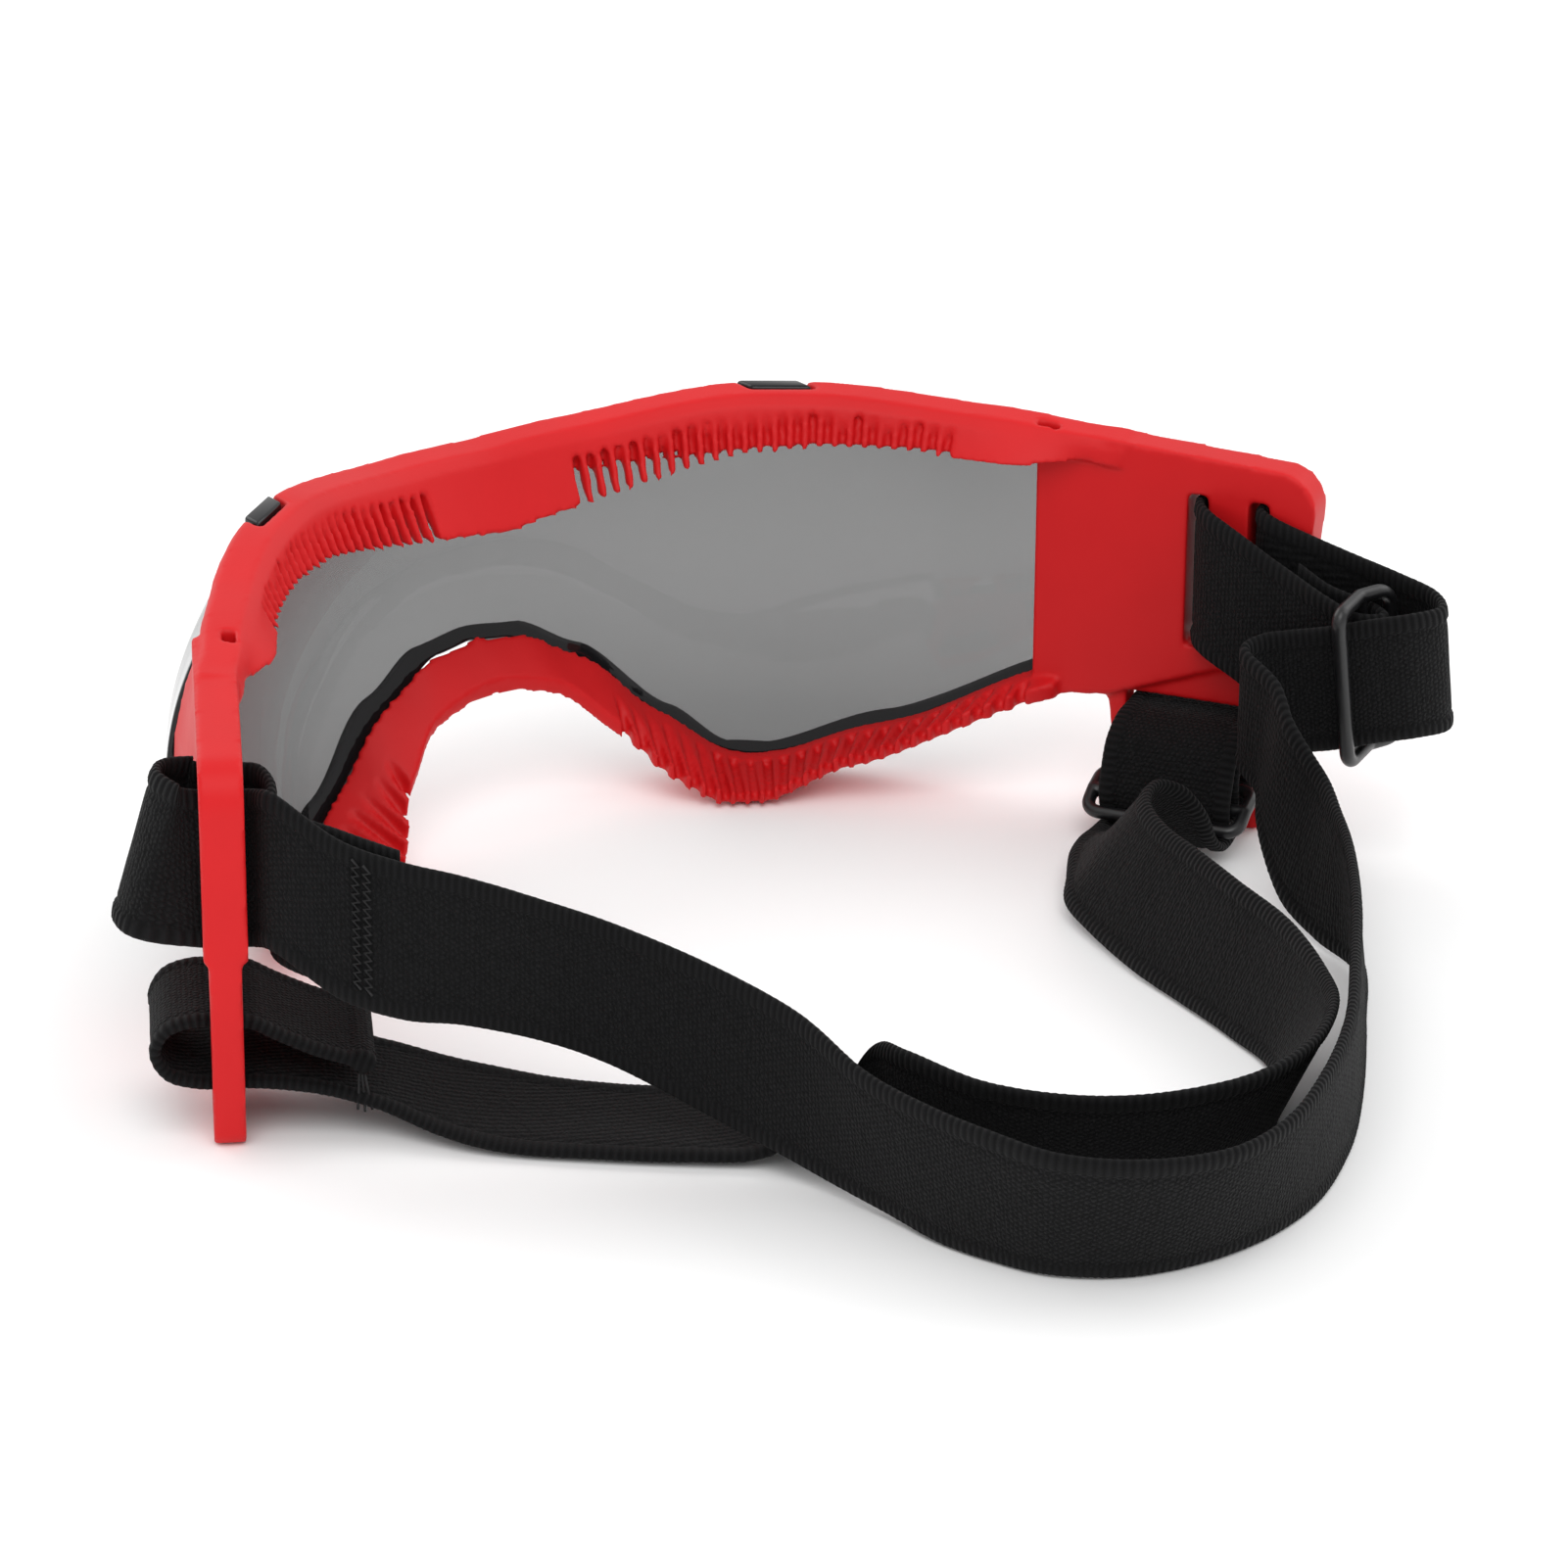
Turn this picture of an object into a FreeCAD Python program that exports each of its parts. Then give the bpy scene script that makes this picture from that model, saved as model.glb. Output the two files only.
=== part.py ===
import FreeCAD, Part
import Sketcher
import math
import os

# Wrap-around goggles: soft frame, one-piece lens, head strap, chin strap and two tri-glide sliders.
# Frame of reference: +Z up, the lens faces -Y, the wearer's left is +X, the floor is z = 0.  Units mm.

doc = FreeCAD.newDocument("goggles")

# ---------------------------------------------------------------- driving dimensions
sheet = doc.addObject("Spreadsheet::Sheet", "dims")
DIMENSIONS = [
    ("front_radius", 67.5), ("front_centre", 54.5), ("side_heading", 59.0),
    ("arm_thickness", 5.2), ("arm_outer", 4.2), ("ear_thickness", 3.8), ("ear_recess", 0.6),
    ("arm_slot_width", 2.8), ("arm_slot_length", 21.0), ("arm_slot_low", 24.9),
    ("front_slot_along", 30.9), ("rear_slot_along", 39.2),
    ("ear_slot_height", 3.0), ("ear_slot_length", 18.8), ("ear_slot_start", 21.6),
    ("ear_slot_upper", 14.1), ("ear_slot_lower", 6.1),
    ("lens_thickness", 1.6), ("lens_clearance", 0.7), ("wall_thickness", 2.3),
    ("comb_gap", 1.1), ("comb_pitch", 2.16), ("comb_web", 1.2), ("groove_gap", 1.2), ("groove_deep", 1.1), ("groove_pitch", 2.4),
    ("webbing_width", 20.0), ("webbing_thickness", 1.3),
    ("slider_bar", 2.0), ("slider_height", 26.0), ("chin_slider_bar", 1.8),
    ("chin_slider_height", 22.6),
]
for row, (word, amount) in enumerate(DIMENSIONS, start=1):
    sheet.set("A%d" % row, word)
    sheet.set("B%d" % row, str(amount))
    sheet.setAlias("B%d" % row, word)
doc.recompute()


def dim(word):
    return float(sheet.get(word))


RADIUS = dim("front_radius")
CENTRE = dim("front_centre")
HEADING = math.radians(dim("side_heading"))
ARC = RADIUS * HEADING
UP = (0, 0, 1)


def at(along, depth, height):
    """Point at a distance along the front curve, a depth behind it and a height."""
    side = 1 if along >= 0 else -1
    turn = min(abs(along), ARC) / RADIUS
    straight = max(abs(along) - ARC, 0)
    x = (RADIUS - depth) * math.sin(turn) + straight * math.cos(HEADING)
    y = CENTRE - (RADIUS - depth) * math.cos(turn) + straight * math.sin(HEADING)
    return FreeCAD.Vector(side * x, y, height)


def eased(points, x):
    """Value at |x| of a smooth curve through a few (x, value) points."""
    x = abs(x)
    if x <= points[0][0]:
        return points[0][1]
    for (x0, v0), (x1, v1) in zip(points, points[1:]):
        if x <= x1:
            t = (x - x0) / (x1 - x0)
            t = t * t * (3 - 2 * t) * 0.5 + t * 0.5
            return v0 + (v1 - v0) * t
    return points[-1][1]


# Outlines of the front, as height or depth against the distance along the front curve.
TOP = [(0, 51.6), (14, 52.3), (38, 55.0), (50, 55.0), (70, 53.6), (90, 52.1), (118, 50.4)]
LENS_LOW = [(0, 24.4), (7.5, 23.4), (16, 18.9), (28, 8.8), (36, 3.2), (42, 2.8), (58, 8.0), (82, 19.0)]
RIM_LOW = [(0, 17.6), (6, 17.0), (12, 14.6), (20, 8.2), (27, 2.8), (34, 0.4), (41, 0.6),
           (55, 5.4), (82, 14.8)]
RIM_DEPTH = [(0, 5.0), (12, 5.5), (20, 8.0), (27, 12.0), (34, 14.0), (41, 14.0), (55, 12.0),
             (68, 9.5), (82, 2.0)]
OUTER = [(0, -0.5), (55, -0.5), (65, -1.0), (80, -2.8), (90, -3.8), (97, -4.2), (118, -4.2)]
COMB_DROP = [(0, 10.2), (15, 9.2), (29, 8.4), (39, 7.4), (51, 6.6), (65, 5.6), (80, 5.0)]
COMB_DEPTH = [(0, 8.8), (15, 8.8), (40, 7.6), (80, 6.0)]
BULGE = [(0, 4.0), (40, 5.5), (62, 6.2), (78, 4.2)]


def skin(sections, ruled=False):
    """Closed solid through a list of section outlines, each a list of points."""
    wires = [Part.makePolygon(points + [points[0]]) for points in sections]
    solid = Part.makeLoft(wires, True, ruled)
    return solid if solid.Volume > 0 else solid.reversed()


def spread(start, end, count):
    return [start + (end - start) * i / (count - 1) for i in range(count)]


def mirrored(shape):
    return shape.mirror(FreeCAD.Vector(0, 0, 0), FreeCAD.Vector(1, 0, 0))


def block_at(along, depth0, depth1, low, high, width):
    """Box across the front curve, centred at a distance along it."""
    a, b = at(along, depth0, low), at(along, depth1, low)
    inward = (b - a).normalize()
    turn = math.degrees(math.atan2(inward.y, inward.x))
    box = Part.makeBox((b - a).Length, width, high - low, FreeCAD.Vector(0, -width / 2, 0))
    box.Placement = FreeCAD.Placement(a, FreeCAD.Rotation(FreeCAD.Vector(0, 0, 1), turn))
    return box


def prism_at(along, outline, width):
    """Prism across the front curve: its outline lists (depth, height) points, its width runs along the curve."""
    tangent = (at(along + 0.1, 0, 0) - at(along - 0.1, 0, 0)).normalize()
    points = [at(along, depth, height) - tangent * (width / 2) for depth, height in outline]
    return Part.Face(Part.makePolygon(points + [points[0]])).extrude(tangent * width)


def feature(name, shape):
    made = doc.addObject("Part::Feature", name)
    made.Shape = shape
    return made


# ---------------------------------------------------------------- frame: top wall with its hanging flange
def top_section(along):
    top, outer = eased(TOP, along), eased(OUTER, along)
    merge = min(max((abs(along) - 75) / 12, 0), 1)
    merge = merge * merge * (3 - 2 * merge)
    drop = eased(COMB_DROP, along) * (1 - merge) + 3.6 * merge
    back = eased(COMB_DEPTH, along) * (1 - merge) + (outer + dim("arm_thickness")) * merge
    crest = outer + 4.2 + 0.3 * merge
    inner = outer + 5.6 * (1 - merge) + dim("arm_thickness") * merge
    wall = dim("wall_thickness")
    lip = 0.7 * (1 - merge)
    outline = [(outer - lip, -wall), (outer - lip, -0.7), (outer + 0.3 * merge, 0), (crest, -0.3), (inner, -1.7),
               (back, -drop), (back - 1.9, -drop + 0.3), (outer + 3.6 - 0.6 * merge, -wall - 0.7)]
    return [at(along, depth, top + height) for depth, height in outline]


top_rim = feature("top_rim", skin([top_section(s) for s in spread(-90, 90, 41)]))


# ---------------------------------------------------------------- frame: bottom wall and nose arch
def low_section(along):
    seat, depth = eased(OUTER, along) + 1.3, eased(RIM_DEPTH, along)
    front, rear = eased(LENS_LOW, along), eased(RIM_LOW, along)
    thick = dim("wall_thickness")
    outline = [(seat, front), (depth + 0.4, rear + thick), (depth, rear), (seat, max(front - 3.0, 0.5))]
    return [at(along, d, z) for d, z in outline]


low_rim = feature("low_rim", skin([low_section(s) for s in spread(-82, 82, 41)]))


# ---------------------------------------------------------------- frame: flared temple behind each lens end
def temple_section(along):
    top, low = eased(TOP, along), eased(LENS_LOW, along) - 2.6 + max(0, along - 87) * 0.4
    fade = 1 - (along - 78.2) / 17.0
    outer, swell = eased(OUTER, along), 4.4 * max(fade, 0.0)
    points = [at(along, 1.0, top - 0.4), at(along, 1.0, low)]
    for t in spread(-1, 1, 7):
        points.append(at(along, outer - swell * (1 - t * t), (low + top - 0.4) / 2 + t * (top - 0.4 - low) / 2))
    return points


temple = skin([temple_section(s) for s in spread(78.2, 95, 6)])

# ---------------------------------------------------------------- frame: arm and ear, one body per side
body = doc.addObject("PartDesign::Body", "arm")
arm_outline = [(8.9, 52.2), (20.5, 51.75), (44.0, 50.5), (46.9, 47.2), (44.9, 25.6), (33.5, 21.8), (19.0, 16.2), (11.0, 15.2),
               (10.8, 18.8), (8.9, 46.6)]
ear_outline = [(17.6, 19.0), (19.0, 16.0), (19.8, 10.3), (20.2, 0.0), (41.0, 0.0), (42.2, 7.0), (44.9, 25.8),
               (33.5, 23.0)]


def outline_sketch(name, points, radii):
    """Closed outline on the arm plane; each corner gets the radius listed for it (0 keeps it sharp)."""
    sketch = body.newObject("Sketcher::SketchObject", name)
    sketch.AttachmentSupport = [(body.Origin.OriginFeatures[4], "")]
    sketch.MapMode = "FlatFace"
    corners = []
    count = len(points)
    for i, radius in enumerate(radii):
        here = FreeCAD.Vector(points[i][0], points[i][1], 0)
        before = FreeCAD.Vector(points[i - 1][0], points[i - 1][1], 0)
        after = FreeCAD.Vector(points[(i + 1) % count][0], points[(i + 1) % count][1], 0)
        to_before, to_after = (before - here).normalize(), (after - here).normalize()
        if radius == 0:
            corners.append((here, None, here))
            continue
        half = to_before.getAngle(to_after) / 2
        reach = radius / math.tan(half)
        middle = here + (to_before + to_after).normalize() * (radius / math.sin(half) - radius)
        corners.append((here + to_before * reach, middle, here + to_after * reach))
    for i, (start, middle, end) in enumerate(corners):
        if middle is not None:
            sketch.addGeometry(Part.Arc(start, middle, end), False)
        sketch.addGeometry(Part.LineSegment(end, corners[(i + 1) % count][0]), False)
    return sketch


def slot_sketch(name, rectangles):
    """Slots as rectangles whose size and place are held by named constraints bound to the sheet."""
    sketch = body.newObject("Sketcher::SketchObject", name)
    sketch.AttachmentSupport = [(body.Origin.OriginFeatures[4], "")]
    sketch.MapMode = "FlatFace"
    vector = FreeCAD.Vector
    for number, (left, low, width, height) in enumerate(rectangles):
        x, z, w, h = [evaluate(word) for word in (left, low, width, height)]
        base = 4 * number
        corners = [vector(x, z, 0), vector(x + w, z, 0), vector(x + w, z + h, 0), vector(x, z + h, 0)]
        for i in range(4):
            sketch.addGeometry(Part.LineSegment(corners[i], corners[(i + 1) % 4]), False)
        for i in range(4):
            sketch.addConstraint(Sketcher.Constraint("Coincident", base + i, 2, base + (i + 1) % 4, 1))
            sketch.addConstraint(Sketcher.Constraint("Horizontal" if i % 2 == 0 else "Vertical", base + i))
        held = [("DistanceX", base, 1, base, 2, w, width), ("DistanceY", base + 1, 1, base + 1, 2, h, height),
                ("DistanceX", -1, 1, base, 1, x, left), ("DistanceY", -1, 1, base, 1, z, low)]
        for kind, g0, p0, g1, p1, size, rule in held:
            index = sketch.addConstraint(Sketcher.Constraint(kind, g0, p0, g1, p1, size))
            sketch.setExpression("Constraints[%d]" % index, rule)
    return sketch


def evaluate(rule):
    """Number for a rule such as 'dims.word' or 'dims.word - dims.other / 2'."""
    total = 0.0
    sign = 1.0
    for token in rule.replace("-", "+ -").split("+"):
        token = token.strip()
        sign = -1.0 if token.startswith("-") else 1.0
        token = token.lstrip("- ")
        parts = [piece.strip() for piece in token.split("/")]
        value = dim(parts[0].split(".")[1])
        if len(parts) == 2:
            value /= float(parts[1])
        total += sign * value
    return total


plate_sketch = outline_sketch("arm_outline", arm_outline, [0, 0, 5.0, 5.0, 1.2, 0, 0, 0, 0, 0])
plate = body.newObject("PartDesign::Pad", "arm_plate")
plate.Profile = plate_sketch
plate.setExpression("Length", "dims.arm_thickness")
plate.Reversed = True
ear_sketch = outline_sketch("ear_outline", ear_outline, [0, 0, 0, 2.4, 2.4, 0, 0, 0])
ear_sketch.AttachmentOffset = FreeCAD.Placement(FreeCAD.Vector(0, 0, -dim("ear_recess")), FreeCAD.Rotation())
ear = body.newObject("PartDesign::Pad", "ear_plate")
ear.Profile = ear_sketch
ear.setExpression("Length", "dims.ear_thickness")
ear.Reversed = True
slots = slot_sketch("strap_slots", [
    ("dims.front_slot_along - dims.arm_slot_width / 2", "dims.arm_slot_low", "dims.arm_slot_width",
     "dims.arm_slot_length"),
    ("dims.rear_slot_along - dims.arm_slot_width / 2", "dims.arm_slot_low", "dims.arm_slot_width",
     "dims.arm_slot_length"),
    ("dims.ear_slot_start", "dims.ear_slot_upper", "dims.ear_slot_length", "dims.ear_slot_height"),
    ("dims.ear_slot_start", "dims.ear_slot_lower", "dims.ear_slot_length", "dims.ear_slot_height")])
cut = body.newObject("PartDesign::Pocket", "strap_slot_cut")
cut.Profile = slots
cut.Type = 1
cut.Midplane = True
body.Tip = cut
doc.recompute()
corner = at(ARC, 0, 0)
inward = FreeCAD.Vector(-math.sin(HEADING), math.cos(HEADING), 0)
body.Placement = FreeCAD.Placement(corner - inward * dim("arm_outer"),
                                   FreeCAD.Rotation(FreeCAD.Vector(0, 0, 1), math.degrees(HEADING)))
doc.recompute()
other_arm = doc.addObject("Part::Mirroring", "other_arm")
other_arm.Source = body
other_arm.Normal = FreeCAD.Vector(1, 0, 0)
left_temple = feature("left_temple", temple)
right_temple = feature("right_temple", mirrored(temple))
whole = doc.addObject("Part::MultiFuse", "frame_blank")
whole.Shapes = [top_rim, low_rim, left_temple, right_temple, body, other_arm]
doc.recompute()

# ---------------------------------------------------------------- frame: comb gaps, grooves, notches, pockets
cutters = []
for i in range(26):
    along = 13.2 + dim("comb_pitch") * i
    top, outer, back = eased(TOP, along), eased(OUTER, along), eased(COMB_DEPTH, along)
    root, foot = top - 3.5 + 1.6 * i / 25, top - eased(COMB_DROP, along) - 1
    web = dim("comb_web")
    open_below = web - 2.0 + 2.0 * min(i / 14, 1)
    gap = prism_at(along, [(outer + 3.6 + web, root), (back + 3, root), (back + 3, foot),
                           (back - 1.9 + open_below, foot)], dim("comb_gap"))
    cutters += [gap, mirrored(gap)]
for i in range(25):
    along = 20.0 + dim("groove_pitch") * i
    seat, depth = eased(OUTER, along) + 4.0, eased(RIM_DEPTH, along)
    front, rear = eased(LENS_LOW, along), eased(RIM_LOW, along) + dim("wall_thickness")
    deep = dim("groove_deep")
    groove = prism_at(along, [(seat, front - deep), (depth - deep, rear - deep), (depth - deep, rear - 4),
                              (depth + 3, rear - 4), (depth + 3, rear + 3), (seat, front + 3)], dim("groove_gap"))
    cutters += [groove, mirrored(groove)]
TAB_START, TAB_END = 38.4, 46.5


def tab_block(front, back, low, high, side):
    """Block on the lens edge whose ends run along Y, the way the lens comes off."""
    a, b = at(TAB_START - side, 0, 0), at(TAB_END + side, 0, 0)
    top = eased(TOP, TAB_START)
    outline = [FreeCAD.Vector(p.x, p.y + step, top + low) for p, step in ((a, front), (b, front), (b, back), (a, back))]
    face = Part.Face(Part.makePolygon(outline + [outline[0]]))
    return face.extrude(FreeCAD.Vector(0, 0, high - low))


notch = tab_block(-5.0, 2.2, -4.0, 2.0, 0.5)
hook_pocket = block_at(79.5, -0.6, 1.0, eased(TOP, 79.5) - 3.2, eased(TOP, 79.5) + 2, 3.0)
cutters += [notch, mirrored(notch), hook_pocket, mirrored(hook_pocket)]
gaps = feature("frame_gaps", Part.makeCompound(cutters))
frame = doc.addObject("Part::Cut", "frame")
frame.Base = whole
frame.Tool = gaps
frame.Label = "frame"


# ---------------------------------------------------------------- lens: one domed shell with two tabs
def lens_section(along):
    edge = eased(OUTER, along) + 1.3 - dim("lens_clearance")
    low = min(eased(LENS_LOW, abs(along) + step) for step in (-2.2, -1.1, 0, 1.1, 2.2)) - 1.4
    high = eased(TOP, along) - dim("wall_thickness") - 0.7
    swell, thick = eased(BULGE, along), dim("lens_thickness")
    points = []
    for t in spread(-1, 1, 9):
        points.append((edge - swell * (1 - t * t), low + (high - low) * (t + 1) / 2))
    points += [(depth - thick, height) for depth, height in reversed(points)]
    return [at(along, depth, height) for depth, height in points]


lens_shell = skin([lens_section(s) for s in spread(-77.4, 77.4, 37)])
tab = tab_block(-1.9, 1.5, -3.6, -0.1, 0)
lens = feature("lens", lens_shell.fuse([tab, mirrored(tab)]))

# ---------------------------------------------------------------- webbing paths: centre and width direction
CHIN_LEFT, CHIN_RIGHT = (0.515, 0.857, 0), (-0.515, 0.857, 0)
LEAN_LEFT, LEAN_RIGHT = (-0.24, 0.14, 0.96), (0.25, 0.15, 0.95)
HEAD_PATH = [
    ((65, 68.0, 29.2), UP), ((70.3, 64.3, 31.7), UP), (at(109.5, 4.6, 33.5), UP),
    (at(104.5, 4.2, 34.6), UP), (at(101.2, 2.8, 35), UP), (at(100.4, 0, 35), UP),
    (at(100.4, -4.5, 35.4), UP), (at(99.8, -7.5, 36.2), LEAN_LEFT), (at(101.8, -10.8, 36.8), LEAN_LEFT),
    (at(105.6, -11.4, 37), LEAN_LEFT), (at(109, -9.2, 36.6), LEAN_LEFT), (at(109.2, -6, 35.8), UP),
    (at(108.7, -3, 35.2), UP), (at(108.7, 0.2, 35.2), UP), (at(110.2, 2.2, 35.8), UP),
    ((77.2, 60, 36.8), UP), ((72, 66, 31.6), UP), ((66, 70, 28.8), UP),
    ((60, 73, 27.1), (0.05, 0.1, 1)), ((52, 77, 24), (0.1, 0.15, 1)), ((45, 81, 20.6), (0.1, 0.1, 1)),
    ((37.2, 90.4, 15.9), (0.05, 0.05, 1)), ((33.0, 101.3, 13.0), (0.05, 0.05, 1)),
    ((31.4, 114, 10.7), (4.2, 1.5, 19.4)), ((30, 124, 9.9), (4, 2, 19.4)), ((28, 132, 9.8), (4.6, 3, 19)),
    ((25, 139, 9.6), (4.5, 5.5, 18.8)), ((18, 145, 9.4), (3.5, 7.2, 18.4)),
    ((8.5, 147.8, 9.3), (2.6, 8, 18.2)), ((-1.3, 146.8, 9.4), (2.6, 6.5, 18.6)),
    ((-11.6, 142.4, 9.7), (2.6, 4, 19)), ((-23.4, 134, 10.0), (2, 2, 19.6)),
    ((-34, 123.6, 10.2), (1.5, 0, 19.9)), ((-46.8, 109.5, 10.4), (2, 0, 19.8)),
    ((-57.4, 96.3, 10.4), (3.5, 1, 19.5)), ((-60.2, 88.5, 10.8), (1, 4, 19.5)),
    ((-62.2, 82, 12.4), (-1, 6, 19)), ((-63.3, 77.4, 15.2), (1, 8.5, 18)),
    ((-64.2, 73.4, 18.6), (3, 8.5, 17.8)), ((-65.8, 70, 21.6), (3.5, 6.5, 18.5)),
    (at(-111.8, 14.6, 23.6), (4, 4.5, 19)), (at(-113.6, 11.6, 24.2), (4.5, 3.5, 19)),
    (at(-117.4, 10.2, 24.8), LEAN_RIGHT), (at(-122, 10, 25.9), LEAN_RIGHT), (at(-128, 10.1, 27.9), LEAN_RIGHT),
    (at(-132.6, 9.0, 28.9), LEAN_RIGHT), (at(-135.4, 4.6, 28.8), LEAN_RIGHT),
    (at(-133.2, 0.4, 29.0), LEAN_RIGHT), (at(-128, -1.2, 30), LEAN_RIGHT), (at(-122, -0.2, 31.4), (0.15, 0.09, 0.98)),
    (at(-116, 1.9, 33.2), UP), (at(-111.2, 2.4, 35), UP), (at(-108.9, 0.6, 35.4), UP),
    (at(-108.7, -3, 35.4), UP), (at(-108.9, -6, 35.4), UP), (at(-106.6, -8, 35.4), UP),
    (at(-103, -8, 35.4), UP), (at(-100.7, -6, 35.4), UP), (at(-100.4, -3, 35.4), UP),
    (at(-100.6, 0.6, 35.4), UP), (at(-102.6, 3.6, 35.2), UP), (at(-108, 6.0, 33.4), UP),
    (at(-114, 7.0, 30.4), UP), (at(-120, 6.9, 28.6), (0.2, 0.12, 0.97)), (at(-125.2, 7.1, 27.2), LEAN_RIGHT),
    (at(-128.0, 5.0, 27.0), LEAN_RIGHT), (at(-125.6, 3.0, 27.4), LEAN_RIGHT), (at(-120, 3.9, 28.8), (0.2, 0.12, 0.97)),
    (at(-115.5, 4.7, 30.2), UP),
]
CHIN_PATH = [
    ((60.5, 54.2, 9.2), CHIN_LEFT), (at(100.5, 9, 11.4), CHIN_LEFT), (at(100.5, 4, 13.8), CHIN_LEFT),
    (at(100.5, 1, 15.4), CHIN_LEFT), (at(100.5, -2, 15.6), CHIN_LEFT), (at(100.5, -5.5, 15.8), CHIN_LEFT),
    (at(100.5, -8.8, 14.6), CHIN_LEFT), (at(100.5, -10.2, 11.8), CHIN_LEFT), (at(100.5, -8.8, 9.0), CHIN_LEFT),
    (at(100.5, -5.5, 7.8), CHIN_LEFT), (at(100.5, -2, 7.6), CHIN_LEFT), (at(100.5, 1, 7.6), CHIN_LEFT),
    (at(100.5, 5, 7.2), CHIN_LEFT), ((65.5, 51.6, 6.4), CHIN_LEFT), ((60, 56, 4.6), (0.57, 0.8, 0)),
    ((54.5, 62, 2.4), (0.66, 0.74, 0)), ((48.5, 69, 1.2), (0.7, 0.7, 0)),
    ((42, 75.5, 1.0), (0.64, 0.77, 0.02)), ((35.0, 81.8, 1.0), (0.55, 0.82, 0.03)),
    ((28.8, 87.8, 1.6), (0.42, 0.88, 0.1)), ((25.0, 94.8, 6), (0.25, 0.78, 0.56)),
    ((24.2, 102.5, 9.2), (0.12, 0.4, 0.9)), ((23.2, 111, 9.8), (0.2, 0.1, 0.97)),
    ((19.3, 120, 9.6), (0.3, 0.25, 0.92)), ((12.5, 127.4, 9.5), (0.28, 0.37, 0.9)),
    ((4.5, 132.4, 9.4), (0.16, 0.42, 0.9)), ((-5, 134.4, 9.4), (0, 0.43, 0.9)),
    ((-15, 131.6, 9.4), (-0.1, 0.42, 0.9)), ((-24.6, 124.8, 9.4), (-0.1, 0.42, 0.9)),
    ((-31.3, 116, 9.4), (0.03, 0.45, 0.88)), ((-35, 104.5, 9.5), (-0.08, 0.38, 0.92)),
    ((-36.8, 93, 9.6), (-0.12, 0.35, 0.92)), ((-38.2, 83.2, 9.8), (-0.16, 0.38, 0.9)),
    ((-40, 73.5, 10.2), (-0.18, 0.46, 0.86)), ((-42.6, 66.6, 10.6), (-0.24, 0.48, 0.83)),
    ((-47, 62.4, 10.9), (-0.3, 0.52, 0.8)), ((-51.6, 59.6, 9.8), (-0.4, 0.65, 0.62)),
    ((-56.4, 57, 7), (-0.48, 0.78, 0.35)), (at(-100.5, 16, 4.0), (-0.51, 0.85, 0.12)),
    (at(-100.5, 12.4, 2.5), CHIN_RIGHT), (at(-100.5, 8.8, 2.5), CHIN_RIGHT), (at(-100.5, 5.4, 4.2), CHIN_RIGHT),
    (at(-100.5, 2.4, 6.8), CHIN_RIGHT), (at(-100.5, -0.5, 7.6), CHIN_RIGHT), (at(-100.5, -4.2, 7.6), CHIN_RIGHT),
    (at(-100.5, -7.4, 8.8), CHIN_RIGHT), (at(-100.5, -8.3, 11.6), CHIN_RIGHT), (at(-100.5, -7.4, 14.4), CHIN_RIGHT),
    (at(-100.5, -4.2, 15.6), CHIN_RIGHT), (at(-100.5, 0.4, 15.6), CHIN_RIGHT), (at(-100.5, 5, 15.4), CHIN_RIGHT),
    (at(-100.5, 8.8, 13.4), CHIN_RIGHT), (at(-100.5, 10.4, 10.2), CHIN_RIGHT), (at(-100.5, 11.2, 7.0), CHIN_RIGHT),
    (at(-100.5, 10.4, 4.75), CHIN_RIGHT), (at(-100.5, 8.1, 4.75), CHIN_RIGHT), (at(-100.5, 7.3, 6.8), CHIN_RIGHT),
    (at(-100.5, 7.8, 9.6), CHIN_RIGHT), (at(-100.5, 7.2, 11.8), CHIN_RIGHT),
]


def curve_through(stations, steps):
    """Smooth stations (centre and width direction) along a centripetal spline."""
    rows = [list(centre) + list(FreeCAD.Vector(*width).normalize()) for centre, width in stations]
    rows = [[2 * a - b for a, b in zip(rows[0], rows[1])]] + rows + [[2 * a - b for a, b in zip(rows[-1], rows[-2])]]
    smooth = []
    for p0, p1, p2, p3 in zip(rows, rows[1:], rows[2:], rows[3:]):
        knots = [0.0]
        for a, b in ((p0, p1), (p1, p2), (p2, p3)):
            knots.append(knots[-1] + math.dist(a[:3], b[:3]) ** 0.5)

        def between(a, b, ta, tb, t):
            return [((tb - t) * u + (t - ta) * v) / (tb - ta) for u, v in zip(a, b)]
        for step in range(steps):
            t = knots[1] + (knots[2] - knots[1]) * step / steps
            a1 = between(p0, p1, knots[0], knots[1], t)
            a2 = between(p1, p2, knots[1], knots[2], t)
            a3 = between(p2, p3, knots[2], knots[3], t)
            b1 = between(a1, a2, knots[0], knots[2], t)
            b2 = between(a2, a3, knots[1], knots[3], t)
            smooth.append(between(b1, b2, knots[1], knots[2], t))
    smooth.append(rows[-2])
    return smooth


def webbing(stations, gathered=1.0, steps=3):
    """Flat strap along the stations; its width draws in to the gathered share beside the ears."""
    rows = curve_through(stations, steps)
    thick = dim("webbing_thickness") / 2
    sections = []
    for i, row in enumerate(rows):
        centre, width = FreeCAD.Vector(*row[:3]), FreeCAD.Vector(*row[3:]).normalize()
        drawn = min(max((abs(centre.x) - 52) / 8, 0), 1)
        half = dim("webbing_width") / 2 * (1 - (1 - gathered) * drawn)
        ahead = FreeCAD.Vector(*rows[min(i + 1, len(rows) - 1)][:3])
        behind = FreeCAD.Vector(*rows[max(i - 1, 0)][:3])
        normal = (ahead - behind).cross(width).normalize() * thick
        corners = [centre + width * half + normal, centre + width * half - normal,
                   centre - width * half - normal, centre - width * half + normal]
        sections.append([FreeCAD.Vector(p.x, p.y, max(p.z, 0.02)) for p in corners])
    return skin(sections, True)


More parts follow.
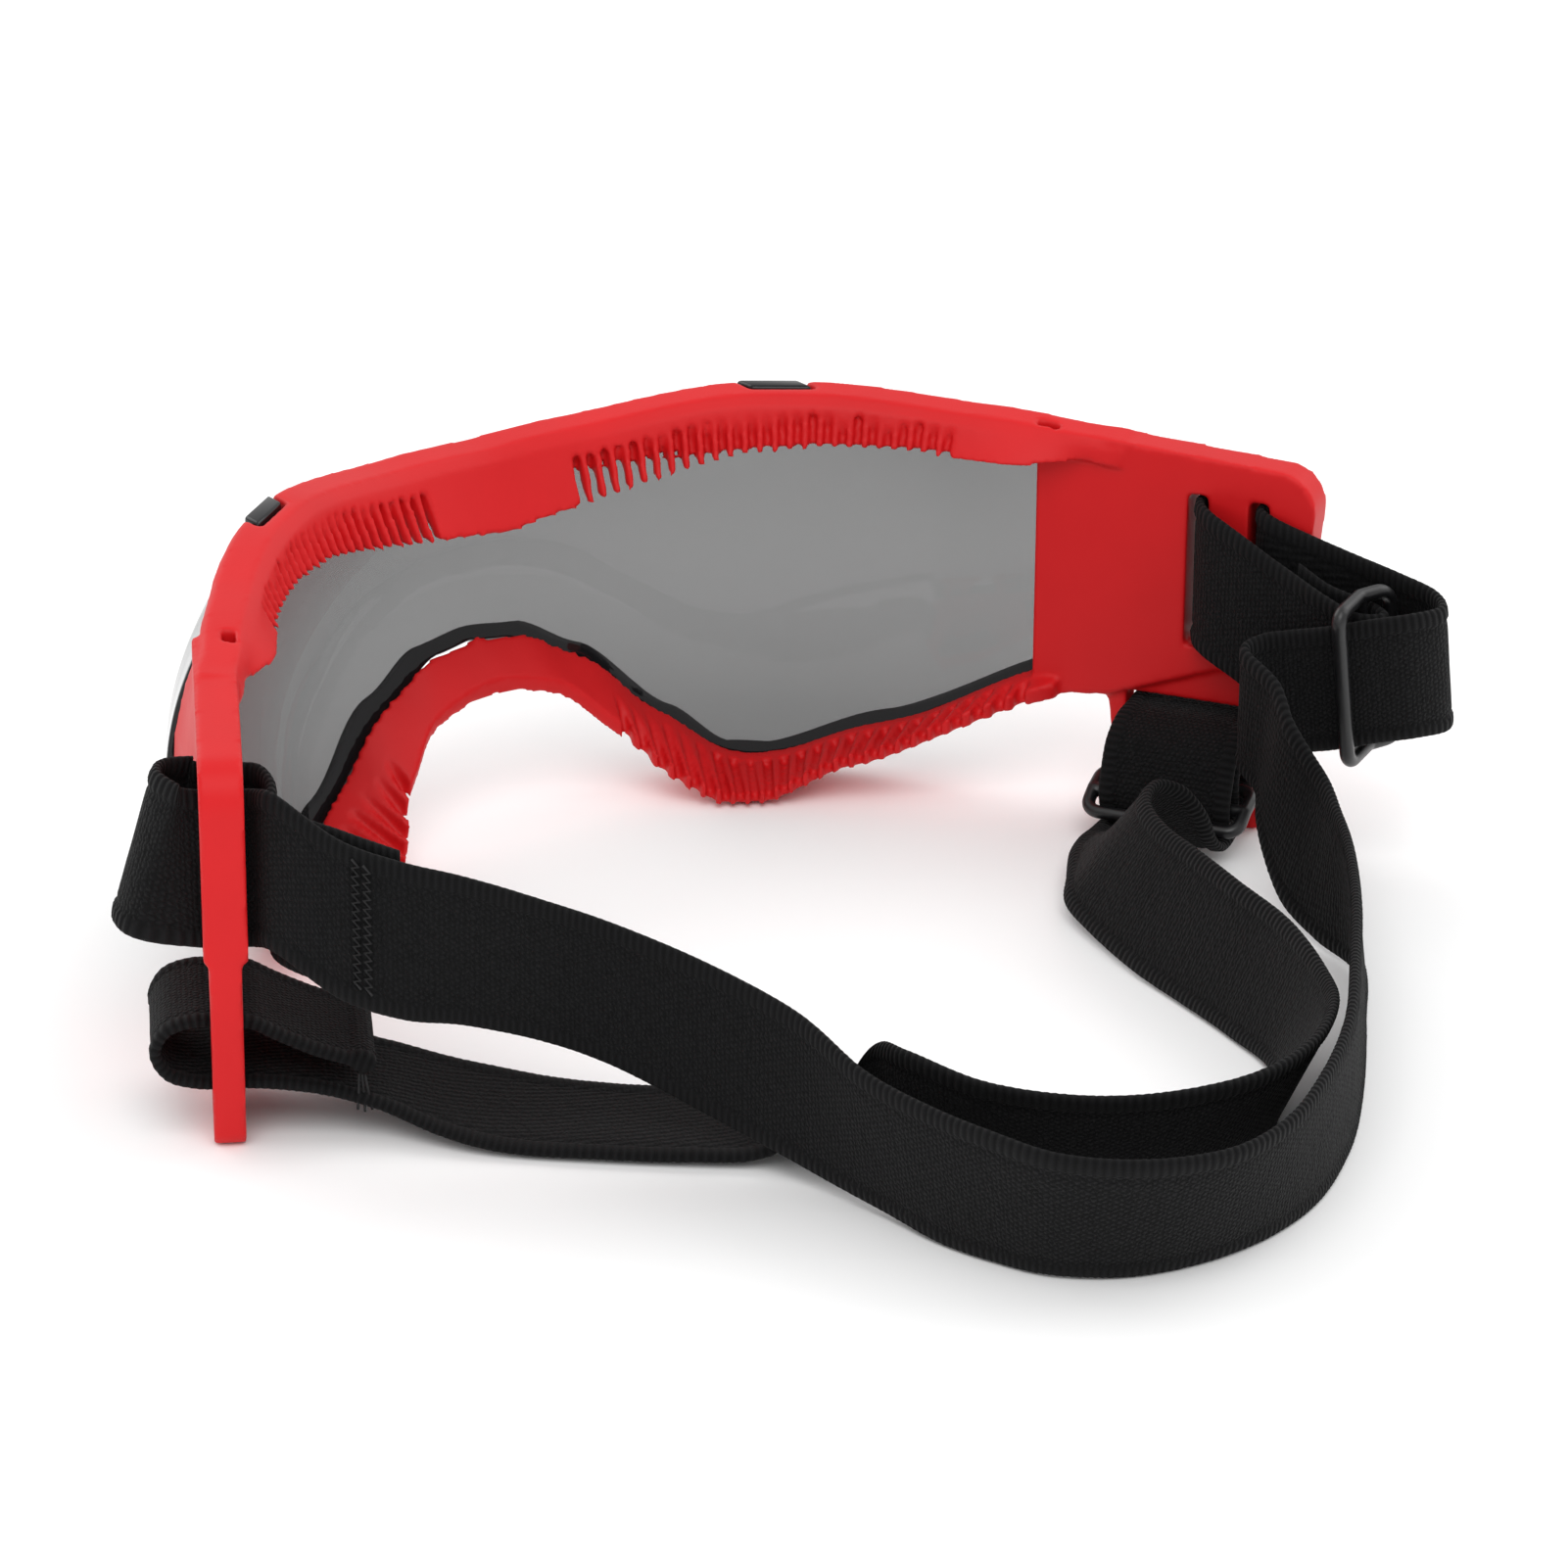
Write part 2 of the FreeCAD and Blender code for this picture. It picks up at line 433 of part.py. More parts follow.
head_strap = feature("head_strap", webbing(HEAD_PATH))
chin_strap = feature("chin_strap", webbing(CHIN_PATH, 0.9))


# ---------------------------------------------------------------- sliders: three bars joined at both ends
def tri_glide(centres, direction, height, bar):
    """Slider made of round bars through the given centres, joined by rounded ends."""
    direction = FreeCAD.Vector(*direction).normalize()
    reach = direction * (height - bar) / 2
    radius = bar / 2
    pieces = [Part.makeCylinder(radius, height - bar, c - reach, direction) for c in centres]
    for end in (-1, 1):
        tips = [c + reach * end for c in centres]
        pieces += [Part.makeSphere(radius, tip) for tip in tips]
        pieces += [Part.makeCylinder(radius, (b - a).Length, a, b - a) for a, b in zip(tips, tips[1:])]
    return pieces[0].fuse(pieces[1:])


head_slider = feature("head_slider", tri_glide([at(-124.5, 12.7, 27), at(-124.9, 5.05, 27), at(-127.5, 0.9, 27)],
                                               LEAN_RIGHT, dim("slider_height"), dim("slider_bar")))
chin_slider = feature("chin_slider", tri_glide([at(-100.5, 12.4, 4.6), at(-100.5, 9.2, 6.4), at(-100.5, 5.2, 7.6)],
                                               CHIN_RIGHT, dim("chin_slider_height"), dim("chin_slider_bar")))


# ---------------------------------------------------------------- thread tacks that join each sewn tail
def tack(centre, along_width, across, length, wide, deep):
    """Small block of stitching: length runs with the webbing's width, deep fills the gap between layers."""
    z = FreeCAD.Vector(*along_width).normalize()
    x = FreeCAD.Vector(*across).normalize()
    block = Part.makeBox(wide, deep, length, FreeCAD.Vector(-wide / 2, -deep / 2, -length / 2))
    block.Placement = FreeCAD.Placement(FreeCAD.Vector(*centre), FreeCAD.Rotation(x, FreeCAD.Vector(), z, "ZXY"))
    return block


feature("head_tack_left", tack((66.9, 67.95, 29.7), UP, (0.8, -0.55, 0.35), 16, 2.4, 0.4))
feature("head_tack_right", tack(at(-115.7, 5.9, 30.5), UP, (-0.515, 0.857, 0), 8, 1.0, 0.2))
feature("chin_tack_left", tack((60.9, 54.6, 7.3), CHIN_LEFT, (0.83, -0.5, 0.2), 14, 2.4, 0.9))
feature("chin_tack_right", tack(at(-100.5, 8.8, 10.1), CHIN_RIGHT, (0, 0, 1), 14, 2.0, 0.5))

# ---------------------------------------------------------------- checks and exports
NODES = ["frame", "lens", "head_strap", "chin_strap", "head_slider", "chin_slider",
         "head_tack_left", "head_tack_right", "chin_tack_left", "chin_tack_right"]
doc.recompute()
for item in doc.Objects:
    assert "Invalid" not in item.State and "Error" not in item.State, item.Name
os.makedirs("parts", exist_ok=True)
for name in NODES:
    item = doc.getObject(name)
    item.Label = name
    shape = item.Shape
    assert not shape.isNull() and shape.isValid() and len(shape.Solids) == 1 and shape.Volume > 0, name
    shape.exportStep("parts/%s.step" % name)
    print(name, round(shape.Volume, 1), shape.BoundBox)
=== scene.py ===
import logging
import math
import random
from dataclasses import dataclass
from enum import Enum
from typing import List, Sequence, Tuple

import bmesh
import bpy
from mathutils import Matrix, Vector


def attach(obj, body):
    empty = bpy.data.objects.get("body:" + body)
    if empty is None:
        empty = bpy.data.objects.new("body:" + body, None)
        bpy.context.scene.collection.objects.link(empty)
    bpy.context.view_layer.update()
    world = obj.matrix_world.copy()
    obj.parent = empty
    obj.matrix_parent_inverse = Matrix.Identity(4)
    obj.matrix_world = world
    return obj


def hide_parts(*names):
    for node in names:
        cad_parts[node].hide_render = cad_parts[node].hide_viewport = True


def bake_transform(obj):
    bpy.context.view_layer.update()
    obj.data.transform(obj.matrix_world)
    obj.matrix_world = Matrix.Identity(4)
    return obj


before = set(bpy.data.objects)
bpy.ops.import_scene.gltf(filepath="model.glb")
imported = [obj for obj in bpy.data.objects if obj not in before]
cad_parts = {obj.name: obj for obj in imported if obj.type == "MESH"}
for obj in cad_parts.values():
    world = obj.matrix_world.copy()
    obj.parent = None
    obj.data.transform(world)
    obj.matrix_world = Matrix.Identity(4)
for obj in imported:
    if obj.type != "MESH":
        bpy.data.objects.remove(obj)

LOG = logging.getLogger("goggles")
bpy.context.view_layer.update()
MM = 0.001
RIB_PITCH = 0.95
TWILL_PITCH, TWILL_SLANT = 1.05, 3.1
GATHER_FROM, GATHER_OVER = 52.0, 8.0
TAB_ENDS, TAB_DEPTH, TAB_HEIGHT = (38.4, 46.5), (-1.8, 1.4), (51.4, 54.85)
STITCH, STITCH_SWING, ROW_GAP, THREAD_RADIUS = 0.55, 0.45, 1.5, 0.16
Triple = Tuple[float, float, float]
Station = Tuple[Triple, Triple]

# ------------------------------------------------------------------ the wrap of the frame, in mm
FRONT_RADIUS = 67.5
FRONT_CENTRE = 54.5
SIDE_HEADING = math.radians(59.0)
FRONT_ARC = FRONT_RADIUS * SIDE_HEADING

UPRIGHT: Triple = (0, 0, 1)
LEAN_LEFT: Triple = (-0.24, 0.14, 0.96)
LEAN_RIGHT: Triple = (0.25, 0.15, 0.95)
CHIN_LEFT: Triple = (0.515, 0.857, 0)
CHIN_RIGHT: Triple = (-0.515, 0.857, 0)


def at(along: float, depth: float, height: float) -> Triple:
    """Point of the wrap.

    Args:
        along: distance along the front curve from the nose, left side positive, in mm.
        depth: distance behind the front curve, in mm.
        height: height above the floor, in mm.

    Returns:
        The point in mm.
    """
    side = 1 if along >= 0 else -1
    turn = min(abs(along), FRONT_ARC) / FRONT_RADIUS
    straight = max(abs(along) - FRONT_ARC, 0)
    x = (FRONT_RADIUS - depth) * math.sin(turn) + straight * math.cos(SIDE_HEADING)
    y = FRONT_CENTRE - (FRONT_RADIUS - depth) * math.cos(turn) + straight * math.sin(SIDE_HEADING)
    return (side * x, y, height)


def eased(points: Sequence[Tuple[float, float]], x: float) -> float:
    """Value at |x| of a smooth curve through a few (x, value) points."""
    x = abs(x)
    if x <= points[0][0]:
        return points[0][1]
    for (x0, v0), (x1, v1) in zip(points, points[1:]):
        if x <= x1:
            t = (x - x0) / (x1 - x0)
            t = t * t * (3 - 2 * t) * 0.5 + t * 0.5
            return v0 + (v1 - v0) * t
    return points[-1][1]


TOP_EDGE = [(0, 51.6), (14, 52.3), (38, 55.0), (50, 55.0), (70, 53.6), (90, 52.1), (118, 50.4)]
LENS_LOW = [(0, 24.4), (7.5, 23.4), (16, 18.9), (28, 8.8), (36, 3.2), (42, 2.8), (58, 8.0), (82, 19.0)]
OUTER_FACE = [(0, -0.5), (55, -0.5), (65, -1.0), (80, -2.8), (90, -3.8), (97, -4.2), (118, -4.2)]
LENS_BULGE = [(0, 4.0), (40, 5.5), (62, 6.2), (78, 4.2)]

HEAD_PATH: List[Station] = [
    ((65, 68.0, 29.2), UPRIGHT), ((70.3, 64.3, 31.7), UPRIGHT), (at(109.5, 4.6, 33.5), UPRIGHT),
    (at(104.5, 4.2, 34.6), UPRIGHT), (at(101.2, 2.8, 35), UPRIGHT), (at(100.4, 0, 35), UPRIGHT),
    (at(100.4, -4.5, 35.4), UPRIGHT), (at(99.8, -7.5, 36.2), LEAN_LEFT), (at(101.8, -10.8, 36.8), LEAN_LEFT),
    (at(105.6, -11.4, 37), LEAN_LEFT), (at(109, -9.2, 36.6), LEAN_LEFT), (at(109.2, -6, 35.8), UPRIGHT),
    (at(108.7, -3, 35.2), UPRIGHT), (at(108.7, 0.2, 35.2), UPRIGHT), (at(110.2, 2.2, 35.8), UPRIGHT),
    ((77.2, 60, 36.8), UPRIGHT), ((72, 66, 31.6), UPRIGHT), ((66, 70, 28.8), UPRIGHT),
    ((60, 73, 27.1), (0.05, 0.1, 1)), ((52, 77, 24), (0.1, 0.15, 1)), ((45, 81, 20.6), (0.1, 0.1, 1)),
    ((37.2, 90.4, 15.9), (0.05, 0.05, 1)), ((33.0, 101.3, 13.0), (0.05, 0.05, 1)),
    ((31.4, 114, 10.7), (4.2, 1.5, 19.4)), ((30, 124, 9.9), (4, 2, 19.4)), ((28, 132, 9.8), (4.6, 3, 19)),
    ((25, 139, 9.6), (4.5, 5.5, 18.8)), ((18, 145, 9.4), (3.5, 7.2, 18.4)),
    ((8.5, 147.8, 9.3), (2.6, 8, 18.2)), ((-1.3, 146.8, 9.4), (2.6, 6.5, 18.6)),
    ((-11.6, 142.4, 9.7), (2.6, 4, 19)), ((-23.4, 134, 10.0), (2, 2, 19.6)),
    ((-34, 123.6, 10.2), (1.5, 0, 19.9)), ((-46.8, 109.5, 10.4), (2, 0, 19.8)),
    ((-57.4, 96.3, 10.4), (3.5, 1, 19.5)), ((-60.2, 88.5, 10.8), (1, 4, 19.5)),
    ((-62.2, 82, 12.4), (-1, 6, 19)), ((-63.3, 77.4, 15.2), (1, 8.5, 18)),
    ((-64.2, 73.4, 18.6), (3, 8.5, 17.8)), ((-65.8, 70, 21.6), (3.5, 6.5, 18.5)),
    (at(-111.8, 14.6, 23.6), (4, 4.5, 19)), (at(-113.6, 11.6, 24.2), (4.5, 3.5, 19)),
    (at(-117.4, 10.2, 24.8), LEAN_RIGHT), (at(-122, 10, 25.9), LEAN_RIGHT),
    (at(-128, 10.1, 27.9), LEAN_RIGHT),
    (at(-132.6, 9.0, 28.9), LEAN_RIGHT), (at(-135.4, 4.6, 28.8), LEAN_RIGHT),
    (at(-133.2, 0.4, 29.0), LEAN_RIGHT), (at(-128, -1.2, 30), LEAN_RIGHT), (at(-122, -0.2, 31.4),
    (0.15, 0.09, 0.98)),
    (at(-116, 1.9, 33.2), UPRIGHT), (at(-111.2, 2.4, 35), UPRIGHT), (at(-108.9, 0.6, 35.4), UPRIGHT),
    (at(-108.7, -3, 35.4), UPRIGHT), (at(-108.9, -6, 35.4), UPRIGHT), (at(-106.6, -8, 35.4), UPRIGHT),
    (at(-103, -8, 35.4), UPRIGHT), (at(-100.7, -6, 35.4), UPRIGHT), (at(-100.4, -3, 35.4), UPRIGHT),
    (at(-100.6, 0.6, 35.4), UPRIGHT), (at(-102.6, 3.6, 35.2), UPRIGHT), (at(-108, 6.0, 33.4), UPRIGHT),
    (at(-114, 7.0, 30.4), UPRIGHT), (at(-120, 6.9, 28.6), (0.2, 0.12, 0.97)),
    (at(-125.2, 7.1, 27.2), LEAN_RIGHT),
    (at(-128.0, 5.0, 27.0), LEAN_RIGHT), (at(-125.6, 3.0, 27.4), LEAN_RIGHT), (at(-120, 3.9, 28.8),
    (0.2, 0.12, 0.97)),
    (at(-115.5, 4.7, 30.2), UPRIGHT),
]
CHIN_PATH: List[Station] = [
    ((60.5, 54.2, 9.2), CHIN_LEFT), (at(100.5, 9, 11.4), CHIN_LEFT), (at(100.5, 4, 13.8), CHIN_LEFT),
    (at(100.5, 1, 15.4), CHIN_LEFT), (at(100.5, -2, 15.6), CHIN_LEFT), (at(100.5, -5.5, 15.8), CHIN_LEFT),
    (at(100.5, -8.8, 14.6), CHIN_LEFT), (at(100.5, -10.2, 11.8), CHIN_LEFT),
    (at(100.5, -8.8, 9.0), CHIN_LEFT),
    (at(100.5, -5.5, 7.8), CHIN_LEFT), (at(100.5, -2, 7.6), CHIN_LEFT), (at(100.5, 1, 7.6), CHIN_LEFT),
    (at(100.5, 5, 7.2), CHIN_LEFT), ((65.5, 51.6, 6.4), CHIN_LEFT), ((60, 56, 4.6), (0.57, 0.8, 0)),
    ((54.5, 62, 2.4), (0.66, 0.74, 0)), ((48.5, 69, 1.2), (0.7, 0.7, 0)),
    ((42, 75.5, 1.0), (0.64, 0.77, 0.02)), ((35.0, 81.8, 1.0), (0.55, 0.82, 0.03)),
    ((28.8, 87.8, 1.6), (0.42, 0.88, 0.1)), ((25.0, 94.8, 6), (0.25, 0.78, 0.56)),
    ((24.2, 102.5, 9.2), (0.12, 0.4, 0.9)), ((23.2, 111, 9.8), (0.2, 0.1, 0.97)),
    ((19.3, 120, 9.6), (0.3, 0.25, 0.92)), ((12.5, 127.4, 9.5), (0.28, 0.37, 0.9)),
    ((4.5, 132.4, 9.4), (0.16, 0.42, 0.9)), ((-5, 134.4, 9.4), (0, 0.43, 0.9)),
    ((-15, 131.6, 9.4), (-0.1, 0.42, 0.9)), ((-24.6, 124.8, 9.4), (-0.1, 0.42, 0.9)),
    ((-31.3, 116, 9.4), (0.03, 0.45, 0.88)), ((-35, 104.5, 9.5), (-0.08, 0.38, 0.92)),
    ((-36.8, 93, 9.6), (-0.12, 0.35, 0.92)), ((-38.2, 83.2, 9.8), (-0.16, 0.38, 0.9)),
    ((-40, 73.5, 10.2), (-0.18, 0.46, 0.86)), ((-42.6, 66.6, 10.6), (-0.24, 0.48, 0.83)),
    ((-47, 62.4, 10.9), (-0.3, 0.52, 0.8)), ((-51.6, 59.6, 9.8), (-0.4, 0.65, 0.62)),
    ((-56.4, 57, 7), (-0.48, 0.78, 0.35)), (at(-100.5, 16, 4.0), (-0.51, 0.85, 0.12)),
    (at(-100.5, 12.4, 2.5), CHIN_RIGHT), (at(-100.5, 8.8, 2.5), CHIN_RIGHT),
    (at(-100.5, 5.4, 4.2), CHIN_RIGHT),
    (at(-100.5, 2.4, 6.8), CHIN_RIGHT), (at(-100.5, -0.5, 7.6), CHIN_RIGHT),
    (at(-100.5, -4.2, 7.6), CHIN_RIGHT),
    (at(-100.5, -7.4, 8.8), CHIN_RIGHT), (at(-100.5, -8.3, 11.6), CHIN_RIGHT),
    (at(-100.5, -7.4, 14.4), CHIN_RIGHT),
    (at(-100.5, -4.2, 15.6), CHIN_RIGHT), (at(-100.5, 0.4, 15.6), CHIN_RIGHT),
    (at(-100.5, 5, 15.4), CHIN_RIGHT),
    (at(-100.5, 8.8, 13.4), CHIN_RIGHT), (at(-100.5, 10.4, 10.2), CHIN_RIGHT),
    (at(-100.5, 11.2, 7.0), CHIN_RIGHT),
    (at(-100.5, 10.4, 4.75), CHIN_RIGHT), (at(-100.5, 8.1, 4.75), CHIN_RIGHT),
    (at(-100.5, 7.3, 6.8), CHIN_RIGHT),
    (at(-100.5, 7.8, 9.6), CHIN_RIGHT), (at(-100.5, 7.2, 11.8), CHIN_RIGHT),
]


# ------------------------------------------------------------------ small tools
def deselect() -> None:
    """Leave nothing selected and nothing active."""
    if bpy.context.object and bpy.context.object.mode != "OBJECT":
        bpy.ops.object.mode_set(mode="OBJECT")
    bpy.ops.object.select_all(action="DESELECT")


def activate(piece: bpy.types.Object) -> bpy.types.Object:
    """Make one object the only selected and active one, and return it."""
    deselect()
    piece.select_set(True)
    bpy.context.view_layer.objects.active = piece
    return piece


def apply_modifier(piece: bpy.types.Object, kind: str, **settings: object) -> None:
    """Add a modifier with its settings and apply it.

    Args:
        piece: object to change.
        kind: modifier type.
        settings: values for the modifier's own properties.
    """
    activate(piece)
    modifier = piece.modifiers.new(kind.title(), kind)
    for word, value in settings.items():
        setattr(modifier, word, value)
    bpy.ops.object.modifier_apply(modifier=modifier.name)


def smooth(piece: bpy.types.Object, angle: float = 40.0) -> None:
    """Shade smooth below an angle in degrees."""
    activate(piece)
    bpy.ops.object.shade_smooth_by_angle(angle=math.radians(angle))


def curve_through(stations: Sequence[Station], steps: int) -> List[Tuple[Vector, Vector]]:
    """Smooth centripetal spline through stations.

    Args:
        stations: centre and width direction of each.
        steps: samples in each span.

    Returns:
        Centres and unit width directions in mm.
    """
    rows = [list(c) + list(Vector(w).normalized()) for c, w in stations]
    rows = ([[2 * a - b for a, b in zip(rows[0], rows[1])]] + rows
            + [[2 * a - b for a, b in zip(rows[-1], rows[-2])]])

    def between(a: List[float], b: List[float], ta: float, tb: float, t: float) -> List[float]:
        """Straight blend of two rows by knot value."""
        return [((tb - t) * u + (t - ta) * v) / (tb - ta) for u, v in zip(a, b)]

    smooth_rows = []
    for p0, p1, p2, p3 in zip(rows, rows[1:], rows[2:], rows[3:]):
        knots = [0.0]
        for a, b in ((p0, p1), (p1, p2), (p2, p3)):
            knots.append(knots[-1] + math.dist(a[:3], b[:3]) ** 0.5)
        for step in range(steps):
            t = knots[1] + (knots[2] - knots[1]) * step / steps
            a1 = between(p0, p1, knots[0], knots[1], t)
            a2 = between(p1, p2, knots[1], knots[2], t)
            a3 = between(p2, p3, knots[2], knots[3], t)
            b1 = between(a1, a2, knots[0], knots[2], t)
            b2 = between(a2, a3, knots[1], knots[3], t)
            smooth_rows.append(between(b1, b2, knots[1], knots[2], t))
    smooth_rows.append(rows[-2])
    return [(Vector(r[:3]), Vector(r[3:]).normalized()) for r in smooth_rows]


def evenly(rows: Sequence[Tuple[Vector, Vector]], step: float) -> List[Tuple[Vector, Vector]]:
    """Resample a smooth line at an even spacing in mm."""
    lengths = [0.0]
    for (a, _), (b, _) in zip(rows, rows[1:]):
        lengths.append(lengths[-1] + (b - a).length)
    count = max(2, round(lengths[-1] / step))
    result, k = [], 0
    for i in range(count + 1):
        want = lengths[-1] * i / count
        while k < len(rows) - 2 and lengths[k + 1] < want:
            k += 1
        span = lengths[k + 1] - lengths[k] or 1.0
        t = (want - lengths[k]) / span
        result.append((rows[k][0].lerp(rows[k + 1][0], t), rows[k][1].lerp(rows[k + 1][1], t).normalized()))
    return result


# ------------------------------------------------------------------ finishes
class Nodes:
    """Short way to build one material's node tree."""

    def __init__(self, name: str) -> None:
        """Start a material with a clean Principled shader."""
        self.material = bpy.data.materials.new(name)
        self.material.use_nodes = True
        self.tree = self.material.node_tree
        self.shader = self.tree.nodes["Principled BSDF"]

    def add(self, kind: str, **sockets: object) -> bpy.types.Node:
        """Add a node and set or link its inputs.

        Args:
            kind: node type without its ShaderNode prefix.
            sockets: values or output sockets, by input name with spaces as underscores.

        Returns:
            The node.
        """
        node = self.tree.nodes.new("ShaderNode" + kind)
        for word, value in sockets.items():
            socket = node.inputs[int(word[1:])] if word[0] == "i" and word[1:].isdigit() else \
                node.inputs[word.replace("_", " ")]
            if isinstance(value, bpy.types.NodeSocket):
                self.tree.links.new(value, socket)
            else:
                socket.default_value = value
        return node

    def maths(self, operation: str, a: object, b: object = 0.0, c: object = 0.0) -> bpy.types.NodeSocket:
        """Add a Math node and return its output."""
        node = self.add("Math", i0=a, i1=b, i2=c)
        node.operation = operation
        return node.outputs[0]

    def feed(self, socket: str, value: object) -> None:
        """Set or link an input of the Principled shader."""
        if isinstance(value, bpy.types.NodeSocket):
            self.tree.links.new(value, self.shader.inputs[socket])
        else:
            self.shader.inputs[socket].default_value = value

    def mixed(self, factor: object, first: Sequence[float], second: Sequence[float]) -> bpy.types.NodeSocket:
        """Mix two colours by a factor and return the colour."""
        node = self.tree.nodes.new("ShaderNodeMix")
        node.data_type = "RGBA"
        node.inputs[6].default_value = (*first, 1)
        node.inputs[7].default_value = (*second, 1)
        self.tree.links.new(factor, node.inputs[0])
        return node.outputs[2]

    def bump(self, height: bpy.types.NodeSocket, distance: float, strength: float = 1.0) -> None:
        """Feed a height in metres times distance into the shader's normal."""
        node = self.add("Bump", Height=height, Distance=distance, Strength=strength)
        self.feed("Normal", node.outputs[0])


@dataclass(frozen=True)
class SoftRubber:
    """Satin moulded soft rubber, a little darker and redder in its depths."""

    name: str = "soft_red_rubber"
    lit: Triple = (0.66, 0.010, 0.013)
    deep: Triple = (0.54, 0.005, 0.007)
    roughness: float = 0.50

    def make(self) -> bpy.types.Material:
        """Build the material."""
        n = Nodes(self.name)
        place = n.add("TexCoord").outputs["Object"]
        cloud = n.add("TexNoise", Vector=place, Scale=55.0, Detail=3.0).outputs[0]
        grain = n.add("TexNoise", Vector=place, Scale=2600.0, Detail=2.0).outputs[0]
        n.feed("Base Color", n.mixed(cloud, self.deep, self.lit))
        rough = n.maths("MULTIPLY_ADD", cloud, 0.10, self.roughness - 0.05)
        n.feed("Roughness", rough)
        n.feed("Specular IOR Level", 0.28)
        n.feed("IOR", 1.45)
        n.bump(grain, 0.00004, 0.35)
        return n.material


class LensFace(Enum):
    """Which side of the lens a finish is for, with its opacity face-on and at a glancing angle."""

    OUTER = (0.62, 0.98)
    INNER = (0.46, 0.60)
    RIM = (0.985, 1.0)


@dataclass(frozen=True)
class SmokeLens:
    """Grey tinted polycarbonate: see-through, with a clear gloss and a dark rim."""

    name: str = "smoke_lens"
    tint: Triple = (0.010, 0.010, 0.011)

    def make(self, face: LensFace) -> bpy.types.Material:
        """Build the material for one side of the lens."""
        n = Nodes(self.name + "_" + face.name.lower())
        place = n.add("TexCoord").outputs["Object"]
        haze = n.add("TexNoise", Vector=place, Scale=40.0, Detail=2.0).outputs[0]
        n.feed("Base Color", (*self.tint, 1))
        n.feed("Roughness", n.maths("MULTIPLY_ADD", haze, 0.03, 0.015))
        n.feed("IOR", 1.42)
        n.feed("Specular IOR Level", 0.35)
        flat, glancing = face.value
        facing = n.add("LayerWeight", Blend=0.5).outputs["Facing"]
        n.feed("Alpha", n.maths("MULTIPLY_ADD", n.maths("POWER", facing, 1.6), glancing - flat, flat))
        return n.material


@dataclass(frozen=True)
class KnitElastic:
    """Black knitted elastic: nubbly rows, ribbed rolled edges and a stitch line inside each edge, with
    painted shade in the low places of the knit.
    """

    name: str = "knit_elastic"
    thread: Triple = (0.0085, 0.0085, 0.0092)
    # darker colour painted into the knit's hollows and rib grooves as shade
    hollow_shade: Triple = (0.0015, 0.0015, 0.0017)
    course: float = 0.62
    wale: float = 0.78

    def make(self) -> bpy.types.Material:
        """Build the material; UV u runs over the width in mm, v along the strap in mm."""
        n = Nodes(self.name)
        coords = n.add("UVMap")
        coords.uv_map = "strap"
        parts = n.add("SeparateXYZ", Vector=coords.outputs[0])
        u, v = parts.outputs[0], parts.outputs[1]
        side = n.add("UVMap")
        side.uv_map = "side"
        faces = n.add("SeparateXYZ", Vector=side.outputs[0])
        outer = faces.outputs[0]
        wobble = n.add("TexNoise", Vector=coords.outputs[0], Scale=1.1, Detail=3.0).outputs[0]
        shifted = n.maths("MULTIPLY_ADD", wobble, 1.1, v)
        rows = n.maths("SINE", n.maths("MULTIPLY", shifted, 2 * math.pi / self.course))
        phase = n.maths("MULTIPLY", n.maths("FLOOR", n.maths("DIVIDE", v, self.course)), math.pi)
        across = n.maths("SINE", n.maths("ADD", n.maths("MULTIPLY", u, 2 * math.pi / self.wale), phase))
        nubs = n.maths("MULTIPLY", n.maths("ADD", rows, 1.0), n.maths("ADD", across, 1.15))
        lines = n.maths("MULTIPLY_ADD", u, 2 * math.pi / TWILL_PITCH,
                        n.maths("MULTIPLY", shifted, 2 * math.pi / TWILL_SLANT))
        twill = n.maths("ADD", n.maths("SINE", lines), n.maths("MULTIPLY", rows, 0.8))
        face = n.maths("ADD", n.maths("MULTIPLY", nubs, n.maths("MULTIPLY", outer, 0.42)),
                       n.maths("MULTIPLY", twill, n.maths("MULTIPLY_ADD", outer, -0.30, 0.30)))
        edge = faces.outputs[1]
        ribs = n.maths("SINE", n.maths("MULTIPLY", v, 2 * math.pi / RIB_PITCH))
        ribbed = n.maths("MULTIPLY", n.maths("MULTIPLY", ribs, 0.7), edge)
        plain = n.maths("MULTIPLY", face, n.maths("SUBTRACT", 1.0, edge))
        fuzz = n.add("TexNoise", Vector=coords.outputs[0], Scale=5.0, Detail=4.0).outputs[0]
        nap = n.add("TexVoronoi", Vector=coords.outputs[0], Scale=1.25).outputs["Distance"]
        plain = n.maths("MULTIPLY_ADD", n.maths("MULTIPLY", nap, -1.1), n.maths("SUBTRACT", 1.0, edge), plain)
        height = n.maths("ADD", n.maths("ADD", ribbed, plain), n.maths("MULTIPLY", fuzz, 0.6))
        # painted shade: the lower the knit's height, in its hollows and rib grooves, the nearer the colour
        # comes to the dark hollow colour
        tone = n.maths("MULTIPLY_ADD", height, 0.45, 0.28)
        n.feed("Base Color", n.mixed(tone, self.hollow_shade, self.thread))
        n.feed("Roughness", 0.85)
        n.feed("Specular IOR Level", 0.16)
        n.feed("Sheen Weight", 0.02)
        n.feed("Sheen Roughness", 0.5)
        n.bump(height, 0.00016, 0.9)
        return n.material


